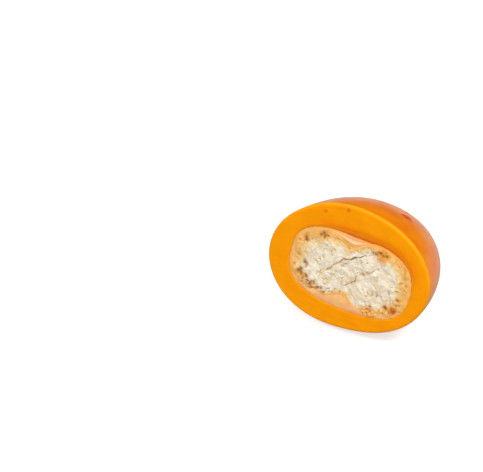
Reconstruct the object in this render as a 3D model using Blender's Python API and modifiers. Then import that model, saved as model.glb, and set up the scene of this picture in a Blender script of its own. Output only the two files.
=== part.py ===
"""Cut half of a biscuit dragee, lying on its belly in the pose in which it balances.

A flattened egg of orange coating was cut across a little past its middle. The cut shows a pale
undercoat and, inside it, a small biscuit with two lobes and a crumbly broken face. Red flecks stand
slightly proud of the coating.

Frame: metres, +Z up. +X runs along the wide way of the cut, the cut looks towards -Y and up, and the
origin is on the floor under the middle of the sweet.

While it is modelled, the sweet lies in axes of its own: X along its width, Y along its length with the
blunt tip at +Y, and Z through its thickness, all from the middle of the uncut egg.
"""

import math
import random

import bmesh
import bpy
from mathutils import Matrix, Vector, noise

# The uncut egg, and where the knife went through it
HALF_LENGTH = 0.0150
HALF_WIDTH = 0.01016
HALF_THICKNESS = 0.00728
SHOULDER = 0.012

# Unevenness of the coating's section, along cosine and sine for one to four waves round it,
# and how far it lowers the underside
SECTION_WAVES = (
    (0.000176, -0.000110),
    (-0.000104, 0.000090),
    (0.000100, -0.000101),
    (0.000039, 0.000018),
)
UNDERSIDE_DROP = 0.00012
CUT_DEPTH = 0.00142
EDGE_ROUNDING = 0.00028
ROUNDED_ABOVE = math.radians(55)
SMOOTH_BELOW = math.radians(40)

# How far the coating's skin swells and sinks, and over what distance
SKIN_WAVE = 0.00006
SKIN_WAVE_SPAN = 0.0065

# The flat that the sweet rests on
FLAT_DEPTH = 0.00018

# The middle of the filling in the cut
CORE_CENTRE = (0.00062, -0.00048)

# The undercoat's section at the cut, how deep it reaches into the egg, and its thinnest wall
UNDERCOAT_RADII = (0.00768, 0.00454)
UNDERCOAT_TURN = math.radians(-4.0)
UNDERCOAT_POWER = 2.8
UNDERCOAT_LENGTH = 0.0125
UNDERCOAT_WALL = 0.00025

# The biscuit's section at the cut: an oval with a dent above and one below
BISCUIT_RADII = (0.00732, 0.00434)
BISCUIT_TURN = math.radians(-2.0)
BISCUIT_POWER = 2.5
BISCUIT_LENGTH = 0.0121
DENTS = (
    {"angle": math.radians(95.0), "depth": 0.00120, "width": math.radians(24.0)},
    {"angle": math.radians(-105.0), "depth": 0.00135, "width": math.radians(37.0)},
)
DEPTH_POWER = 2.4

# Clearance between pieces that lie in each other
GAP = 0.00006

# The crumb's lumps, its two long cracks, and the steps along each side of the ball it is made from
LUMP_SPAN = 0.0017
LUMP_HEIGHT = 0.00040
CRUST_WIDTH = 0.0009
CRUST_SINK = 0.00016
CRACK_DEPTH = 0.00040
CRACK_WIDTH = 0.00032
CRACKS = (
    ((-0.00225, -0.00096), (-0.00045, 0.00090), (0.00175, 0.00188)),
    ((0.00008, -0.00217), (0.00100, -0.00160), (0.00150, -0.00060)),
)
BISCUIT_GRID = 18

# Flecks on the coating
FLECK_COUNT = 32
FLECK_SEED = 11
FLECK_RADIUS = (0.00026, 0.00060)
FLECK_THICKNESS = 0.00016
FLECK_STAND = 0.00010
FLECK_NARROWING = (0.55, 0.95)
FLECK_UNEVENNESS = (0.85, 1.15)
FLECK_DRIFT = 0.0008
FLECK_TURN = 0.5
SMALL_FLECKS = 1.6
FLECK_CUT_MARGIN = 0.0010
FLECK_TIP_MARGIN = 0.0005
FLECK_FLOOR_MARGIN = 0.0008
GOLDEN_ANGLE = math.pi * (3.0 - math.sqrt(5.0))
MAIN_FLECK = {"angle": math.radians(55.0), "depth": 0.0067, "radius": 0.00058}

# Upper right side, next to the cut, where the skin shows only the main fleck
CLEAR_ANGLES = (math.radians(-15.0), math.radians(120.0))
CLEAR_DEPTH = 0.0082

# Steps round and along the turned forms
AROUND = 64
ALONG = 26


def clear_scene():
    for obj in list(bpy.data.objects):
        bpy.data.objects.remove(obj)


def new_collection(name, rendered=True):
    collection = bpy.data.collections.new(name)
    collection.hide_render = not rendered
    bpy.context.scene.collection.children.link(collection)
    return collection


def principled(name, colour, roughness, coat=0.0):
    material = bpy.data.materials.new(name)
    material.use_nodes = True
    shader = material.node_tree.nodes["Principled BSDF"]
    shader.inputs["Base Color"].default_value = (*colour, 1.0)
    shader.inputs["Roughness"].default_value = roughness
    shader.inputs["Metallic"].default_value = 0.0
    shader.inputs["Coat Weight"].default_value = coat
    return material


def resting_tilt():
    """How far the cut tips up as the half lies free, its centre of mass over where it touches."""
    cut = CUT_DEPTH / HALF_LENGTH
    mass_depth = HALF_LENGTH * ((1 - cut**2) ** 2 / 4) / (2 / 3 - cut + cut**3 / 3)
    along = mass_depth * HALF_LENGTH / (HALF_LENGTH**2 - HALF_THICKNESS**2)
    across = math.sqrt(1 - along**2)
    return math.atan2(along / HALF_LENGTH, across / HALF_THICKNESS)


def floor_direction():
    """Straight down, in the sweet's own axes."""
    tilt = resting_tilt()
    return Vector((0.0, math.sin(tilt), -math.cos(tilt)))


def floor_distance():
    """From the egg's middle to the floor, with the flat taken off."""
    tilt = resting_tilt()
    reach = math.hypot(HALF_LENGTH * math.sin(tilt), HALF_THICKNESS * math.cos(tilt))
    return reach - FLAT_DEPTH + UNDERSIDE_DROP


def oval_radius(angle, radii, power):
    """Radius of a superellipse at an angle from its wide axis."""
    wide = abs(math.cos(angle) / radii[0]) ** power
    thick = abs(math.sin(angle) / radii[1]) ** power
    return (wide + thick) ** (-1.0 / power)


def turned_from(angle, other):
    """The angle from other to angle, between -pi and pi."""
    return (angle - other + math.pi) % (2 * math.pi) - math.pi


def coating_radius(angle):
    oval = oval_radius(angle, (HALF_WIDTH, HALF_THICKNESS), 2.0)
    radius = oval * (1.0 - SHOULDER * math.cos(4 * angle))
    for waves, (along_cosine, along_sine) in enumerate(SECTION_WAVES, start=1):
        radius += along_cosine * math.cos(waves * angle) + along_sine * math.sin(waves * angle)
    return radius


def biscuit_radius(angle):
    radius = oval_radius(angle - BISCUIT_TURN, BISCUIT_RADII, BISCUIT_POWER)
    for dent in DENTS:
        away = turned_from(angle, dent["angle"]) / dent["width"]
        radius -= dent["depth"] * math.exp(-(away**2))
    return radius


def undercoat_radius(angle):
    oval = oval_radius(angle - UNDERCOAT_TURN, UNDERCOAT_RADII, UNDERCOAT_POWER)
    return max(oval, biscuit_radius(angle) + GAP + UNDERCOAT_WALL)


def skin_wave(point):
    """Slow unevenness of a hand-panned coating."""
    return SKIN_WAVE * noise.noise(point / SKIN_WAVE_SPAN)


def place_on_ovoid(direction, centre, radius_at, length, power, grow=0.0):
    """Point of an ovoid for a unit direction from its middle. Its section keeps one shape all along."""
    ring = math.hypot(direction.x, direction.z) ** (2.0 / power)
    depth = math.copysign(abs(direction.y) ** (2.0 / power), direction.y)
    angle = math.atan2(direction.z, direction.x)
    radius = ring * (radius_at(angle) + grow)
    return Vector(
        (
            centre[0] + radius * math.cos(angle),
            depth * (length + grow),
            centre[1] + radius * math.sin(angle),
        )
    )


def link_mesh(name, bm, collection, material=None, smooth=True):
    mesh = bpy.data.meshes.new(name)
    bm.to_mesh(mesh)
    bm.free()
    obj = bpy.data.objects.new(name, mesh)
    collection.objects.link(obj)
    if material:
        mesh.materials.append(material)
    if smooth:
        mesh.shade_smooth()
        mesh.set_sharp_from_angle(angle=SMOOTH_BELOW)
    return obj


def cut_off_front(bm, depth):
    """Cuts a closed form across at a depth and closes it with one flat face."""
    geometry = bm.verts[:] + bm.edges[:] + bm.faces[:]
    cut = bmesh.ops.bisect_plane(
        bm,
        geom=geometry,
        dist=1e-7,
        plane_co=(0.0, depth, 0.0),
        plane_no=(0.0, 1.0, 0.0),
        clear_inner=True,
    )
    rim = [item for item in cut["geom_cut"] if isinstance(item, bmesh.types.BMEdge)]
    bmesh.ops.edgeloop_fill(bm, edges=rim)


def ovoid(centre, radius_at, length, power, grow=0.0, front=CUT_DEPTH, wave=False):
    """Mesh of a cut ovoid: a ball with its poles on Y, shaped to the section and cut off flat in front."""
    bm = bmesh.new()
    bmesh.ops.create_uvsphere(bm, u_segments=AROUND, v_segments=ALONG, radius=1.0)
    bmesh.ops.rotate(bm, verts=bm.verts, matrix=Matrix.Rotation(math.radians(90), 3, "X"))
    for vert in bm.verts:
        direction = vert.co.normalized()
        vert.co = place_on_ovoid(direction, centre, radius_at, length, power, grow)
        if wave:
            vert.co += direction * skin_wave(vert.co)
    cut_off_front(bm, front)
    bmesh.ops.recalc_face_normals(bm, faces=bm.faces)
    return bm


def apply_modifiers(obj):
    """Replaces an object's mesh with what its modifiers make of it."""
    graph = bpy.context.evaluated_depsgraph_get()
    mesh = bpy.data.meshes.new_from_object(obj.evaluated_get(graph))
    obj.modifiers.clear()
    obj.data = mesh


def cut_away(obj, cutter):
    boolean = obj.modifiers.new("cut_" + cutter.name, "BOOLEAN")
    boolean.operation = "DIFFERENCE"
    boolean.object = cutter


def as_cutter(obj):
    obj.hide_render = True
    obj.display_type = "WIRE"
    return obj


def resting_flat(cutters):
    """A block whose top is the floor, to take the flat off the belly."""
    side = 2 * HALF_LENGTH
    bm = bmesh.new()
    bmesh.ops.create_cube(bm, size=side)
    block = link_mesh("resting_flat", bm, cutters, smooth=False)
    block.location = floor_direction() * (floor_distance() + side / 2)
    block.rotation_euler = (resting_tilt(), 0.0, 0.0)
    return as_cutter(block)


def fleck_places():
    """Angle round the egg, depth and radius of each fleck, spread by the golden angle and chance."""
    chance = random.Random(FLECK_SEED)
    places = [(MAIN_FLECK["angle"], MAIN_FLECK["depth"], MAIN_FLECK["radius"])]
    for index in range(FLECK_COUNT):
        share = (index + 0.5) / FLECK_COUNT
        depth = CUT_DEPTH + share * (HALF_LENGTH - CUT_DEPTH)
        depth += chance.uniform(-FLECK_DRIFT, FLECK_DRIFT)
        angle = index * GOLDEN_ANGLE + chance.uniform(-FLECK_TURN, FLECK_TURN)
        size = chance.random() ** SMALL_FLECKS
        radius = FLECK_RADIUS[0] + size * (FLECK_RADIUS[1] - FLECK_RADIUS[0])
        turned = (angle - CLEAR_ANGLES[0]) % math.tau
        clear = depth < CLEAR_DEPTH and turned < CLEAR_ANGLES[1] - CLEAR_ANGLES[0]
        on_skin = CUT_DEPTH + FLECK_CUT_MARGIN < depth < HALF_LENGTH - FLECK_TIP_MARGIN
        if on_skin and not clear:
            places.append((angle, depth, radius))
    return places


def skin_point(angle, depth):
    """Point of the coating's skin at an angle round the egg and a depth along it."""
    ring = math.sqrt(1 - (depth / HALF_LENGTH) ** 2)
    radius = ring * coating_radius(angle)
    return Vector((radius * math.cos(angle), depth, radius * math.sin(angle)))


def skin_normal(angle, depth):
    step = 1e-4
    around = skin_point(angle + step, depth) - skin_point(angle - step, depth)
    along = skin_point(angle, depth + step * 0.01) - skin_point(angle, depth - step * 0.01)
    return along.cross(around).normalized()


def fleck(index, place, collection):
    """One flake, flat on the skin, with uneven corners."""
    angle, depth, radius = place
    chance = random.Random(FLECK_SEED * 100 + index)
    normal = skin_normal(angle, depth)
    bm = bmesh.new()
    bmesh.ops.create_icosphere(bm, subdivisions=2, radius=1.0)
    for vert in bm.verts:
        vert.co *= chance.uniform(*FLECK_UNEVENNESS)
    narrow = chance.uniform(*FLECK_NARROWING)
    shape = Matrix.Diagonal((radius, radius * narrow, FLECK_THICKNESS))
    turn = Matrix.Rotation(chance.uniform(0, math.tau), 3, "Z")
    lie = normal.to_track_quat("Z", "X").to_matrix()
    for vert in bm.verts:
        vert.co = lie @ (turn @ (shape @ vert.co))
    obj = link_mesh(f"fleck_{index:02d}", bm, collection, smooth=False)
    point = skin_point(angle, depth)
    sink = FLECK_THICKNESS - FLECK_STAND
    obj.location = point + point.normalized() * skin_wave(point) - normal * sink
    return obj


def off_the_floor(place):
    """Whether a fleck clears the flat that the sweet rests on."""
    point = skin_point(place[0], place[1])
    return point.dot(floor_direction()) < floor_distance() - FLECK_FLOOR_MARGIN


def coating(parts, cutters, material):
    """The orange shell: egg, cavity, flat, rounded knife edges and flecks."""
    bm = ovoid((0.0, 0.0), coating_radius, HALF_LENGTH, 2.0, wave=True)
    shell = link_mesh("coating", bm, parts, material)

    bm = ovoid(CORE_CENTRE, undercoat_radius, UNDERCOAT_LENGTH, DEPTH_POWER, grow=GAP, front=0.0)
    cavity = as_cutter(link_mesh("cavity", bm, cutters))
    cut_away(shell, cavity)
    cut_away(shell, resting_flat(cutters))

    rounding = shell.modifiers.new("knife_edge", "BEVEL")
    rounding.width = EDGE_ROUNDING
    rounding.segments = 2
    rounding.limit_method = "ANGLE"
    rounding.angle_limit = ROUNDED_ABOVE
    apply_modifiers(shell)

    flecks = new_collection("flecks", rendered=False)
    for index, place in enumerate(filter(off_the_floor, fleck_places())):
        fleck(index, place, flecks)
    join = shell.modifiers.new("flecks", "BOOLEAN")
    join.operation = "UNION"
    join.operand_type = "COLLECTION"
    join.collection = flecks
    apply_modifiers(shell)
    for obj in list(flecks.objects):
        bpy.data.objects.remove(obj)
    bpy.data.collections.remove(flecks)
    shell.data.shade_smooth()
    shell.data.set_sharp_from_angle(angle=SMOOTH_BELOW)
    return shell


def undercoat(parts, cutters, material):
    """The pale layer between coating and biscuit, open at the cut."""
    bm = ovoid(CORE_CENTRE, undercoat_radius, UNDERCOAT_LENGTH, DEPTH_POWER)
    layer = link_mesh("undercoat", bm, parts, material)
    bm = ovoid(CORE_CENTRE, biscuit_radius, BISCUIT_LENGTH, DEPTH_POWER, grow=GAP, front=0.0)
    core_space = as_cutter(link_mesh("core_space", bm, cutters))
    cut_away(layer, core_space)
    apply_modifiers(layer)
    return layer


def distance_to_line(x, z, line):
    """Distance in the cut's plane from a point to a bent line."""
    here = Vector((x, z))
    nearest = math.inf
    for start, end in zip(line, line[1:]):
        start, end = Vector(start), Vector(end)
        run = end - start
        share = (here - start).dot(run) / run.length_squared
        share = min(1.0, max(0.0, share))
        nearest = min(nearest, (here - start - run * share).length)
    return nearest


def crumb_height(x, z, inside):
    """How far the broken face stands out of the cut, where inside is the distance from the crust's edge."""
    away = min(1.0, inside / CRUST_WIDTH)
    spot = Vector((x, z, 0.0))
    lumps = 0.5 - noise.voronoi(spot / LUMP_SPAN)[0][0]
    height = LUMP_HEIGHT * lumps * away - CRUST_SINK * (1.0 - away)
    for line in CRACKS:
        near = distance_to_line(x, z, line) / CRACK_WIDTH
        height -= CRACK_DEPTH * math.exp(-(near**2))
    return height


def biscuit(parts, material):
    """The biscuit: a ball of square faces, its front half pressed flat on the cut and broken into crumb."""
    bm = bmesh.new()
    bmesh.ops.create_cube(bm, size=2.0)
    bmesh.ops.subdivide_edges(bm, edges=bm.edges[:], cuts=BISCUIT_GRID - 1, use_grid_fill=True)
    rim_lift = math.asin((CUT_DEPTH / BISCUIT_LENGTH) ** (DEPTH_POWER / 2))
    rim_scale = math.cos(rim_lift) ** (2 / DEPTH_POWER)
    for vert in bm.verts:
        direction = vert.co.normalized()
        angle = math.atan2(direction.z, direction.x)
        if direction.y > 0.0:
            lift = rim_lift + math.asin(min(1.0, direction.y)) * (1 - 2 * rim_lift / math.pi)
            ring = math.cos(lift)
            direction = Vector((ring * math.cos(angle), math.sin(lift), ring * math.sin(angle)))
            vert.co = place_on_ovoid(direction, CORE_CENTRE, biscuit_radius, BISCUIT_LENGTH, DEPTH_POWER)
            continue
        outward = math.sqrt(max(0.0, 1.0 + direction.y))
        radius = biscuit_radius(angle) * rim_scale
        x = CORE_CENTRE[0] + radius * outward * math.cos(angle)
        z = CORE_CENTRE[1] + radius * outward * math.sin(angle)
        vert.co = Vector((x, CUT_DEPTH - crumb_height(x, z, radius * (1.0 - outward)), z))
    bmesh.ops.recalc_face_normals(bm, faces=bm.faces)
    return link_mesh("biscuit", bm, parts, material)


def stand_on_floor(pieces):
    """Hangs the pieces on an empty that tips them and sets them on the floor about the origin."""
    rest = bpy.data.objects.new("rest", None)
    pieces[0].users_collection[0].objects.link(rest)
    rest.rotation_euler = (-resting_tilt(), 0.0, 0.0)
    for piece in pieces:
        piece.parent = rest
    turn = rest.rotation_euler.to_matrix()
    outline = [turn @ vert.co for vert in pieces[0].data.vertices]
    low_x = min(point.x for point in outline)
    high_x = max(point.x for point in outline)
    low_y = min(point.y for point in outline)
    high_y = max(point.y for point in outline)
    rest.location = (-(low_x + high_x) / 2, -(low_y + high_y) / 2, floor_distance())


def main():
    clear_scene()
    parts = new_collection("biscuit_dragee_half")
    cutters = new_collection("cutters")
    orange = principled("orange_coating", (0.89, 0.32, 0.004), 0.22, coat=0.5)
    peach = principled("pale_undercoat", (0.82, 0.42, 0.17), 0.45)
    crumb = principled("biscuit_crumb", (0.79, 0.68, 0.50), 0.90)
    pieces = [
        coating(parts, cutters, orange),
        undercoat(parts, cutters, peach),
        biscuit(parts, crumb),
    ]
    stand_on_floor(pieces)


main()
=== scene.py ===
"""Looks of the cut half of a biscuit dragee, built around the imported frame.

Each piece is modelled on a bench where a unit is a millimetre and the sweet lies in its own axes: X
along its width, Y along its length with the blunt tip at +Y, and Z through its thickness, all from the
middle of the uncut egg. It is then brought to its real size and to the pose in which the sweet rests.
"""

import logging
import math
import random
from dataclasses import dataclass, field
from enum import Enum
from typing import Callable, Sequence

import bmesh
import bpy
import numpy as np
from mathutils import Matrix, Vector, noise


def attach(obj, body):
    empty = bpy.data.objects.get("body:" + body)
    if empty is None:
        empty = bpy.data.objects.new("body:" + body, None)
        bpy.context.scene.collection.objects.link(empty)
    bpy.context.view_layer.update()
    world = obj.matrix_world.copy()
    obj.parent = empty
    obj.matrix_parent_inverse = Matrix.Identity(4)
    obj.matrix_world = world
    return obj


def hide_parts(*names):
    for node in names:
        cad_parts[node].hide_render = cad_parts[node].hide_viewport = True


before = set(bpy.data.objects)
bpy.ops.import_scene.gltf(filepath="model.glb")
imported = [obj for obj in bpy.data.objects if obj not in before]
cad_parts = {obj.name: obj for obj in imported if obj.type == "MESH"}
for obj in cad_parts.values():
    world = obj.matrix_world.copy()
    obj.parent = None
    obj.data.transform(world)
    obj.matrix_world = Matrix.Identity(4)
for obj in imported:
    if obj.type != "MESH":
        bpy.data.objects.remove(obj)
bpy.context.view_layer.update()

MM = 0.001

Rgb = tuple[int, int, int]
Pair = tuple[float, float]
Array = np.ndarray
Piece = bpy.types.Object
Material = bpy.types.Material
Socket = bpy.types.NodeSocket
Place = Callable[[Array], Array]
Line = Callable[[Array, float], Array]
log = logging.getLogger("biscuit_dragee")


def linear(colour: Rgb) -> tuple[float, float, float, float]:
    """Turns a display colour into the linear one that a shader takes.

    Args:
        colour: Red, green and blue from 0 to 255.

    Returns:
        The linear colour with full alpha.
    """
    shares = [value / 255 for value in colour]
    curved = [s / 12.92 if s <= 0.04045 else ((s + 0.055) / 1.055) ** 2.4 for s in shares]
    return (*curved, 1.0)


def ease(low: float, high: float, value: Array) -> Array:
    """Rises smoothly from 0 where value is low to 1 where it is high."""
    share = np.clip((value - low) / (high - low), 0.0, 1.0)
    return share * share * (3.0 - 2.0 * share)


def ripple(points: Array, span: float, layer: float = 0.0) -> Array:
    """Reads smooth noise of a span, between about -1 and 1; another layer gives another noise."""
    shift = Vector((layer * 7.31, layer * 3.17, layer * 5.77))
    return np.array([noise.noise(Vector(point) / span + shift) for point in points])


def oval_radius(angle: Array, radii: Pair, power: float) -> Array:
    """Radius of a superellipse at an angle from its wide axis.

    Args:
        angle: Angles in radians.
        radii: Half of its width and half of its thickness.
        power: 2 for an ellipse, more for a squarer form.

    Returns:
        A radius for each angle.
    """
    wide = np.abs(np.cos(angle) / radii[0]) ** power
    thick = np.abs(np.sin(angle) / radii[1]) ** power
    return (wide + thick) ** (-1.0 / power)


def wrap(angle: Array) -> Array:
    """Brings angles between minus pi and pi."""
    return (angle + math.pi) % math.tau - math.pi


def read_round(angle: Array, table: Sequence[Pair]) -> Array:
    """Reads values between the rows of a table whose first column is degrees."""
    degrees, values = zip(*table)
    return np.interp(np.degrees(wrap(angle)), degrees, values)


def rows(kind: type, *values: tuple[float, ...]) -> tuple:
    """Makes one thing of a kind from each row of numbers."""
    return tuple(kind(*row) for row in values)


def pick(*objects: Piece) -> None:
    """Selects objects and makes the first of them active.

    Args:
        objects: The objects.
    """
    bpy.ops.object.select_all(action="DESELECT")
    for one in objects:
        one.select_set(True)
    bpy.context.view_layer.objects.active = objects[0]


@dataclass(frozen=True)
class Egg:
    """The uncut coated egg, the knife's cut and how the half comes to rest, in millimetres."""

    half_length: float = 15.0
    half_width: float = 10.16
    half_thickness: float = 7.28
    shoulder: float = 0.012
    cut_depth: float = 1.42
    flat_depth: float = 0.18
    skin_wave: float = 0.06
    skin_wave_span: float = 6.5
    section_waves: tuple[Pair, ...] = (
        (0.176, -0.110), (-0.104, 0.090), (0.100, -0.101), (0.039, 0.018),
    )
    underside_drop: float = 0.12
    middle_in_frame: Pair = (-0.247, -6.781)

    @property
    def radii(self) -> Array:
        """Its half sizes along X, Y and Z."""
        return np.array([self.half_width, self.half_length, self.half_thickness])

    def tilt(self) -> float:
        """Works out how the half lies, from where its middle of mass is.

        Returns:
            The angle by which the cut tips up as the half balances on its belly.
        """
        cut = self.cut_depth / self.half_length
        mass_depth = self.half_length * ((1 - cut**2) ** 2 / 4) / (2 / 3 - cut + cut**3 / 3)
        along = mass_depth * self.half_length / (self.half_length**2 - self.half_thickness**2)
        return math.atan2(along / self.half_length, math.sqrt(1 - along**2) / self.half_thickness)

    def down(self) -> Array:
        """Straight down, in the sweet's own axes."""
        return np.array([0.0, math.sin(self.tilt()), -math.cos(self.tilt())])

    def behind(self, distance: float) -> float:
        """Depth of what lies a distance behind the cut."""
        return self.cut_depth + distance

    def floor_distance(self) -> float:
        """Works out how high the egg lies.

        Returns:
            The distance from the egg's middle down to the floor.
        """
        long_way = self.half_length * math.sin(self.tilt())
        thick_way = self.half_thickness * math.cos(self.tilt())
        return math.hypot(long_way, thick_way) - self.flat_depth + self.underside_drop

    def pose(self) -> Matrix:
        """Works out how a piece leaves the bench.

        Returns:
            The transform that brings it to its size and place in the frame.
        """
        middle = Vector((*self.middle_in_frame, self.floor_distance())) * MM
        turn = Matrix.Rotation(-self.tilt(), 4, "X")
        return Matrix.Translation(middle) @ turn @ Matrix.Scale(MM, 4)

    def section_radius(self, angle: Array) -> Array:
        """Radius of its widest section at an angle round its length.

        Args:
            angle: Angles in radians from the width's axis.

        Returns:
            A radius for each angle.
        """
        radius = self.plain_radius(angle) * (1.0 - self.shoulder * np.cos(4 * angle))
        for waves, (cosine, sine) in enumerate(self.section_waves, start=1):
            radius = radius + cosine * np.cos(waves * angle) + sine * np.sin(waves * angle)
        return radius

    def plain_radius(self, angle: Array) -> Array:
        """Radius of the plain oval that the section is made from."""
        return oval_radius(angle, (self.half_width, self.half_thickness), 2.0)

    def skin_point(self, angle: float, depth: float) -> Array:
        """Point of the skin.

        Args:
            angle: Angle round its length.
            depth: Place along its length.

        Returns:
            The point.
        """
        ring = math.sqrt(1 - (depth / self.half_length) ** 2)
        radius = ring * float(self.section_radius(np.array(angle)))
        return np.array([radius * math.cos(angle), depth, radius * math.sin(angle)])


@dataclass(frozen=True)
class Dent:
    """A dent in the biscuit's outline: where it is, how deep and how wide."""

    angle: float
    depth: float
    width: float

    def share(self, angle: Array, reach: float = 1.0, power: int = 2) -> Array:
        """1 in the dent's middle, falling to 0 beyond its width times reach."""
        return np.exp(-((wrap(angle - self.angle) / (reach * self.width)) ** power))


@dataclass(frozen=True)
class Filling:
    """Undercoat and biscuit: their outlines in the cut and how deep they reach, in millimetres."""

    centre: Pair = (0.62, -0.48)
    undercoat_radii: Pair = (7.68, 4.54)
    undercoat_turn: float = math.radians(-4.0)
    undercoat_power: float = 2.8
    undercoat_length: float = 12.5
    undercoat_wall: float = 0.25
    biscuit_radii: Pair = (7.32, 4.34)
    biscuit_turn: float = math.radians(-2.0)
    biscuit_power: float = 2.5
    biscuit_length: float = 12.1
    depth_power: float = 2.4
    gap: float = 0.06
    dents: tuple[Dent, ...] = (
        Dent(math.radians(95.0), 1.20, math.radians(24.0)),
        Dent(math.radians(-105.0), 1.35, math.radians(37.0)),
    )
    upper_middle: float = math.radians(72.0)
    upper_reach: float = math.radians(58.0)
    least_ledge: float = 0.08
    upper_ledge: float = 0.32
    least_lining: float = 0.10
    tucks: tuple[Pair, ...] = (
        (-180, 0.12), (-135, 0.08), (-105, 0.0), (-80, 0.05), (-55, 0.20), (-30, 0.33), (0, 0.33),
        (30, 0.36), (55, 0.42), (95, 0.42), (120, 0.30), (150, 0.14), (180, 0.12),
    )

    def biscuit_radius(self, angle: Array) -> Array:
        """Radius of the biscuit's outline at angles about the filling's centre."""
        oval = oval_radius(angle - self.biscuit_turn, self.biscuit_radii, self.biscuit_power)
        return oval - sum(dent.depth * dent.share(angle) for dent in self.dents)

    def undercoat_radius(self, angle: Array) -> Array:
        """Radius of the undercoat's outline at angles about the filling's centre."""
        oval = oval_radius(angle - self.undercoat_turn, self.undercoat_radii, self.undercoat_power)
        return np.maximum(oval, self.biscuit_radius(angle) + self.gap + self.undercoat_wall)

    def opening_radius(self, angle: Array) -> Array:
        """Radius of the opening in the cut, where the coating reaches in over the undercoat."""
        tucked = self.undercoat_radius(angle) + self.gap - read_round(angle, self.tucks)
        return np.maximum(tucked, self.biscuit_radius(angle) + self.least_lining)

    def polar(self, points: Array) -> tuple[Array, Array]:
        """Angle and distance of points from the filling's axis.

        Args:
            points: One row for each point.

        Returns:
            The angles and the distances.
        """
        x = points[:, 0] - self.centre[0]
        z = points[:, 2] - self.centre[1]
        return np.arctan2(z, x), np.hypot(x, z)

    def at(self, angle: Array, radius: Array, depth: Array | float) -> Array:
        """Points from angle, distance and depth about the filling's axis.

        Args:
            angle: Angles in radians.
            radius: Distances from the axis.
            depth: Places along the sweet's length.

        Returns:
            One row for each point.
        """
        x = self.centre[0] + radius * np.cos(angle)
        z = self.centre[1] + radius * np.sin(angle)
        return np.column_stack([x, np.broadcast_to(depth, x.shape), z])

    def upper_side(self, angle: Array) -> Array:
        """1 along the filling's upper side, where it lies deepest in the coating, and 0 below."""
        return np.exp(-((wrap(angle - self.upper_middle) / self.upper_reach) ** 4))

    def ledge(self, angle: Array) -> Array:
        """How far the coating's inner edge lies behind the cut at each angle."""
        return self.least_ledge + self.upper_ledge * self.upper_side(angle)

    def ovoid(self, points: Array, radii: Pair, length: float, outline: Place) -> Array:
        """Turns a plain ball into an ovoid of the filling.

        Args:
            points: One row for each point of the ball.
            radii: Half of its width and half of its thickness.
            length: How deep it reaches.
            outline: Its radius at angles about the filling's centre.

        Returns:
            One row for each point.
        """
        direction = points / np.array(self.half_sizes(radii, length))
        direction /= np.linalg.norm(direction, axis=1, keepdims=True)
        power = 2.0 / self.depth_power
        ring = np.hypot(direction[:, 0], direction[:, 2]) ** power
        depth = np.sign(direction[:, 1]) * np.abs(direction[:, 1]) ** power
        angle = np.arctan2(direction[:, 2], direction[:, 0])
        return self.at(angle, ring * outline(angle), depth * length)

    def half_sizes(self, radii: Pair, length: float) -> tuple[float, float, float]:
        """Half sizes along X, Y and Z of an ovoid of the filling."""
        return radii[0], length, radii[1]

    def wall(self, angle: Array, radius: Array, top: float, length: float, share: float) -> Array:
        """One line of a hollow's wall, a share of the way from its top down to its end."""
        depth = top + (length - top) * math.sin(math.radians(90) * share)
        return self.at(angle, radius * self.ring_share(depth, length), depth)

    def cut_share(self, length: float) -> float:
        """How wide an ovoid of the filling still is in the cut."""
        return float(self.ring_share(EGG.cut_depth, length))

    def ring_share(self, depth: Array | float, length: float) -> Array:
        """How wide an ovoid of the filling still is at a depth, against its widest section."""
        share = np.clip(np.asarray(depth) / length, 0.0, 1.0)
        return (1.0 - share**self.depth_power) ** (1.0 / self.depth_power)


EGG = Egg()
FILLING = Filling()


class Mark(Enum):
    """Numbers kept at the vertices, which the finishes read."""

    FLECK = "fleck"
    # painted shade on the slope down to the filling, strongest along its upper side
    SLOPE_SHADE = "slope"
    # painted highlight along the rounded knife edge
    LIP_HIGHLIGHT = "lip_highlight"
    SPECK = "speck"
    CREAM = "cream"
    SEAM = "seam"
    CRUST = "crust"
    TOAST = "toast"
    # painted shade in the cracks
    CRACK_SHADE = "crack"
    # painted shade in pits, seams between facets, low ground and cracks
    HOLLOW_SHADE = "hollow"
    PORE = "pore"
    BURNT = "burnt"


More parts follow.
